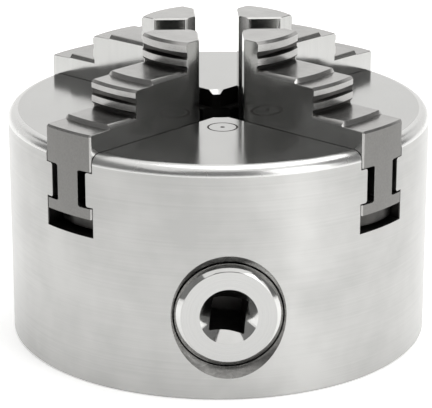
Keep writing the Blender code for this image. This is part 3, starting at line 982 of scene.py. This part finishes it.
def pinion_finish(side):
    def pick(centre, normal):
        """0 bright turned, 1 form-cut chamfers, 2 inside the square."""
        radius = math.hypot(centre.x, centre.z - KEY_AXIS_Z)
        out = side * centre.y
        if radius < MOUTH_R + 0.3 and out > PINION_FACE - 3.2 and 0.3 < side * normal.y < 0.9:
            return 1
        if radius < MOUTH_R and out > PINION_FACE - SOCKET_DEPTH - 0.1:
            return 2
        if radius > PINION_R - RIM_CHAMFER and out > PINION_FACE - RIM_CHAMFER - 0.2:
            return 1
        return 0
    return pick


def make_pinion(name, body, node, side, finishes):
    pinion = to_object(spin_outline(pinion_outline(), 128), "pinion")
    carve(pinion, pinion_gear(), "UNION")
    deep = MOUTH_R - 0.5 * SQUARE + 0.3
    mouth = [(0.0, PINION_FACE - deep), (MOUTH_R - deep, PINION_FACE - deep),
             (MOUTH_R + 1.0, PINION_FACE + 1.0), (0.0, PINION_FACE + 1.0)]
    carve(pinion, spin_outline(mouth, 128))
    square = straight(key_square(), (0.0, 0.0, SOCKET_DEPTH + 1.0))
    carve(pinion, turn(square, side * SOCKET_TURN))
    reshape(pinion, lambda bm: along_key(bm, side))
    finish_piece(pinion, name, body, [node], finishes, pinion_finish(side))


# ------------------------------------------------------------ rear pieces

def boss_notch(side):
    """The gap in the cover's boss that lets a pinion through to its nose hole."""
    near, far = NOTCH_REACH
    corners = [(-NOTCH_HALF, near), (NOTCH_HALF, near), (NOTCH_HALF, far), (-NOTCH_HALF, far)]
    return straight([(x, side * y, NOTCH_Z) for x, y in corners], (0.0, 0.0, NOTCH_RISE))


def make_cover(finish):
    low, high = COVER_Z
    outline = [
        (HUB_R + 0.4, low),
        (COVER_R - 0.4, low),
        (COVER_R, low + 0.4),
        (COVER_R, high),
        (BOSS_R, high),
        (BOSS_R, BOSS_Z),
        (HUB_R + 0.4, BOSS_Z),
    ]
    cover = to_object(spin_outline(outline, BODY_STEPS), "cover")
    for side in (-1.0, 1.0):
        carve(cover, boss_notch(side))
    wide = SCREW_HEAD_R + SCREW_PLAY
    slim = SCREW_R + SCREW_PLAY
    for angle in SCREW_ANGLES:
        sink = [(0.0, low - 0.5), (wide + 0.5, low - 0.5), (slim, low + wide - slim),
                (slim, high + 0.5), (0.0, high + 0.5)]
        x, y = on_circle(SCREW_CIRCLE, angle)
        carve(cover, moved(spin_outline(sink, ROUND_STEPS), x, y))
    finish_piece(cover, "faced_rear_cover", "body", ["rear_cover"], [finish])


def hexagon(across, z):
    return [(*on_circle(across / math.sqrt(3.0), 60.0 * i), z) for i in range(6)]


def make_cover_screw(index, finish):
    low = COVER_Z[0] + 0.05
    neck = low + SCREW_HEAD_R - SCREW_R
    outline = [
        (0.0, low),
        (SCREW_HEAD_R - 0.08, low),
        (SCREW_HEAD_R, low + 0.08),
        (SCREW_R, neck),
        (SCREW_R, SCREW_END - 0.3),
        (SCREW_R - 0.3, SCREW_END),
        (0.0, SCREW_END),
    ]
    screw = to_object(spin_outline(outline, ROUND_STEPS), "screw")
    carve(screw, straight(hexagon(1.5, 0.0), (0.0, 0.0, low + 0.9)))
    x, y = on_circle(SCREW_CIRCLE, SCREW_ANGLES[index - 1])
    reshape(screw, lambda bm: moved(bm, x, y))
    node = "cover_screw_%d" % index
    finish_piece(screw, "countersunk_screw_%d" % index, "body", [node], [finish])


def make_pinion_screw(name, node, side, finish):
    outline = [(0.0, 0.8), (2.5, 0.8), (2.9, 1.2), (2.9, 6.6), (1.5, 7.2), (1.5, 9.4), (0.0, 9.4)]
    screw = to_object(spin_outline(outline, ROUND_STEPS), "screw")
    carve(screw, straight(hexagon(3.0, 0.0), (0.0, 0.0, 3.6)))
    reshape(screw, lambda bm: moved(bm, 0.0, side * PINION_SCREW_R))
    finish_piece(screw, name, "body", [node], [finish])


# ----------------------------------------------------------------- studio

def pale_floor():
    bm = bmesh.new()
    bmesh.ops.create_grid(bm, x_segments=8, y_segments=8, size=4.0)
    floor = to_object(bm, "studio_floor")
    floor.data.transform(Matrix.Translation((0.0, 0.0, CAD_BOX[0][2])))
    material = bpy.data.materials.new("pale_floor")
    material.use_nodes = True
    tree = material.node_tree
    shader = tree.nodes["Principled BSDF"]
    shader.inputs["Roughness"].default_value = 0.9
    shader.inputs["Specular IOR Level"].default_value = 0.1
    shader.inputs["Emission Color"].default_value = (1.0, 1.0, 1.0, 1.0)
    shader.inputs["Emission Strength"].default_value = 0.42
    paper = noise(tree, placed(tree), 40.0, 3.0)
    shade = tinted(tree, paper, (0.93, 0.93, 0.925), (0.95, 0.95, 0.945))
    tree.links.new(shade, shader.inputs["Base Color"])
    floor.data.materials.append(material)


def card(name, centre, facing, width, height, shade):
    """A studio card: a panel facing the chuck, seen only in the steel so that it hides no side."""
    bm = bmesh.new()
    bmesh.ops.create_grid(bm, x_segments=1, y_segments=1, size=0.5)
    bmesh.ops.scale(bm, vec=(width, height, 1.0), verts=bm.verts[:])
    panel = to_object(bm, name)
    turned = (Vector(facing) - Vector(centre)).to_track_quat("Z", "Y").to_matrix().to_4x4()
    panel.data.transform(Matrix.Translation(centre) @ turned)
    material = bpy.data.materials.new(name)
    material.use_nodes = True
    shader = material.node_tree.nodes["Principled BSDF"]
    shader.inputs["Base Color"].default_value = (shade, shade, shade, 1.0)
    shader.inputs["Roughness"].default_value = 0.9
    shader.inputs["Specular IOR Level"].default_value = 0.0
    panel.data.materials.append(material)
    panel.visible_camera = False


def soft_box(name, centre, facing, width, height, radiance):
    """A soft box given by the brightness of its face."""
    light = bpy.data.lights.new(name, "AREA")
    light.shape = "RECTANGLE"
    light.size = width
    light.size_y = height
    light.energy = radiance * math.pi * width * height
    lamp = bpy.data.objects.new(name, light)
    lamp.visible_camera = False
    lamp.location = centre
    lamp.rotation_euler = (Vector(facing) - Vector(centre)).to_track_quat("-Z", "Y").to_euler()
    bpy.context.scene.collection.objects.link(lamp)


def studio():
    """A softly glowing white floor and tent, two soft boxes, and dark cards for the steel to mirror."""
    pale_floor()
    world = bpy.data.worlds.new("white_tent")
    world.use_nodes = True
    world.node_tree.nodes["Background"].inputs["Color"].default_value = (1.0, 0.995, 0.985, 1.0)
    world.node_tree.nodes["Background"].inputs["Strength"].default_value = 1.02
    bpy.context.scene.world = world
    card("dark_left_card", (-0.36, -0.52, 0.245), (0.0, -0.52, 0.245), 1.34, 0.41, 0.2)
    card("dark_right_card", (0.36, -0.025, 0.245), (0.0, -0.025, 0.245), 0.35, 0.41, 0.2)
    card("dark_front_card", (0.0, -0.75, 0.48), (0.0, 0.0, 0.48), 0.72, 0.86, 0.2)
    for side, name in ((-1.0, "left"), (1.0, "right")):
        card("dark_%s_wing" % name, (side * 0.75, 0.1, 0.75), (0.0, 0.0, 0.05), 1.5, 0.35, 0.12)
    soft_box("overhead_box", (0.22, 0.15, 1.1), (0.0, 0.0, 0.0), 0.7, 0.9, 2.0)
    soft_box("front_right_box", (0.44, -0.50, 0.30), (0.0, 0.0, 0.05), 0.30, 0.55, 2.2)


def studio_camera():
    data = bpy.data.cameras.new("studio_camera")
    data.lens = 180.7
    data.sensor_width = 36.0
    data.dof.use_dof = False
    camera = bpy.data.objects.new("studio_camera", data)
    camera.location = (-0.0235, -0.4960, 0.1994)
    aim = Vector((-0.0006, 0.0, 0.0296)) - camera.location
    camera.rotation_euler = aim.to_track_quat("-Z", "Y").to_euler()
    bpy.context.scene.collection.objects.link(camera)
    bpy.context.scene.camera = camera
    bpy.context.scene.view_settings.view_transform = "Standard"


def main():
    studio_camera()
    studio()
    # The inside steel, painted dark as shade, is shared by the body, the jaws and the pinions.
    inside = painted_shade_inside_steel()
    oxide = screw_oxide()
    make_body([wall_steel(), face_steel(), inside, painted_shade_recess_steel(), rear_steel(), painted_highlight_corner_steel()])
    steps = jaw_step_steel("hardened_step", (0.40, 0.396, 0.388))
    # The tops get a lighter copy of the step steel: painted light for the brighter light the tops catch.
    tops = jaw_step_steel("hardened_top_painted_light", (0.44, 0.436, 0.427))
    jaw_finishes = [jaw_side_steel(), steps, jaw_end_steel(), inside, tops]
    for node, angle in JAW_ANGLES.items():
        make_jaw(node, angle, jaw_finishes)
    pinion_finishes = [pinion_steel(), mirror_steel(), inside]
    make_pinion("key_pinion_front", "front_pinion", "pinion_front", -1.0, pinion_finishes)
    make_pinion("key_pinion_rear", "rear_pinion", "pinion_rear", 1.0, pinion_finishes)
    make_cover(plate_steel())
    for index in range(1, 7):
        make_cover_screw(index, oxide)
    make_pinion_screw("pinion_stop_front", "pinion_screw_front", -1.0, oxide)
    make_pinion_screw("pinion_stop_rear", "pinion_screw_rear", 1.0, oxide)
    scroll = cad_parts["scroll_plate"]
    scroll.data.materials.clear()
    scroll.data.materials.append(scroll_steel())


main()
